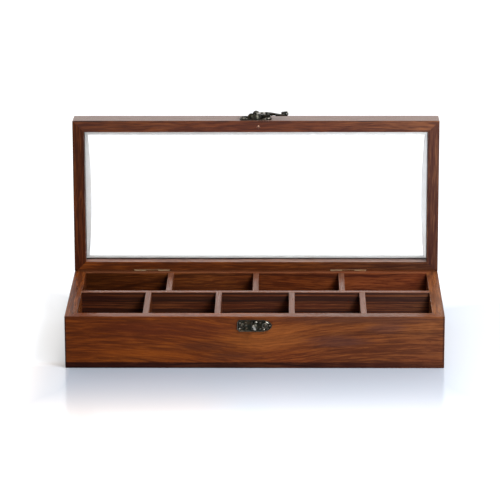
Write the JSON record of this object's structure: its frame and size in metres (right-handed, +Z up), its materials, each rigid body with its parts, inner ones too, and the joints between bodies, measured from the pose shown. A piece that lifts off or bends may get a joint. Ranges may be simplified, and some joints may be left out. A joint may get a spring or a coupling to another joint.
{
  "type": "wooden spice box",
  "caption": "Rectangular wooden spice box with divided compartments, a hinged lid that frames a glass pane, and a swing-hook latch on the front.",
  "frame": {"origin": "middle of the underside of the bottom panel, on the plane the box rests on", "axes": "+Z up, +X along the length towards the viewer's right, -Y towards the latch side; the lid stands open at +Y"},
  "size_m": [0.305, 0.1561, 0.1799],
  "materials": {
    "case_wood": "semi-gloss clear lacquer over dark red-brown hardwood",
    "floor_wood": "semi-gloss, darker",
    "divider_wood": "semi-gloss clear lacquer over dark red-brown hardwood",
    "lid_wood": "semi-gloss clear lacquer over dark red-brown hardwood",
    "glass": "clear and flat",
    "sealant": "pale translucent silicone, satin",
    "antique_bronze": "darkened, worn brighter on its edges",
    "hinge_brass": "satin",
    "brad_steel": "satin"
  },
  "bodies": {
    "base": {"front_wall": "case_wood", "back_wall": "case_wood", "left_wall": "case_wood", "right_wall": "case_wood", "bottom_panel": "floor_wood", "bottom_brads": "brad_steel", "long_divider": "divider_wood", "back_divider_1": "divider_wood", "back_divider_2": "divider_wood", "back_divider_3": "divider_wood", "front_divider_1": "divider_wood", "front_divider_2": "divider_wood", "front_divider_3": "divider_wood", "front_divider_4": "divider_wood", "hinge_left_base_leaf": "hinge_brass", "hinge_left_pin": "hinge_brass", "hinge_right_base_leaf": "hinge_brass", "hinge_right_pin": "hinge_brass", "hinge_base_brads": "brad_steel", "latch_base_plate": "antique_bronze", "latch_stud": "antique_bronze", "latch_base_nails": "antique_bronze"},
    "lid": {"lid_front_rail": "lid_wood", "lid_back_rail": "lid_wood", "lid_left_stile": "lid_wood", "lid_right_stile": "lid_wood", "glass_pane": "glass", "glass_sealant": "sealant", "hinge_left_lid_leaf": "hinge_brass", "hinge_right_lid_leaf": "hinge_brass", "hinge_lid_brads": "brad_steel", "latch_lid_plate": "antique_bronze", "latch_lid_nails": "antique_bronze", "latch_pivot_rivet": "antique_bronze", "lid_face_pin": "hinge_brass"},
    "hook": {"latch_hook": "antique_bronze"}
  },
  "joints": [
    {"name": "lid_hinge", "type": "hinge", "parent": "base", "child": "lid", "pos_m": [0, 0.06245, 0.04578], "axis": [1, 0, 0], "range_deg": [0, 91.75]},
    {"name": "hook_pivot", "type": "hinge", "parent": "lid", "child": "hook", "pos_m": [0.0003, 0.07128, 0.17267], "axis": [0, 0.0305, 0.9995], "range_deg": [-90, 180]}
  ]
}
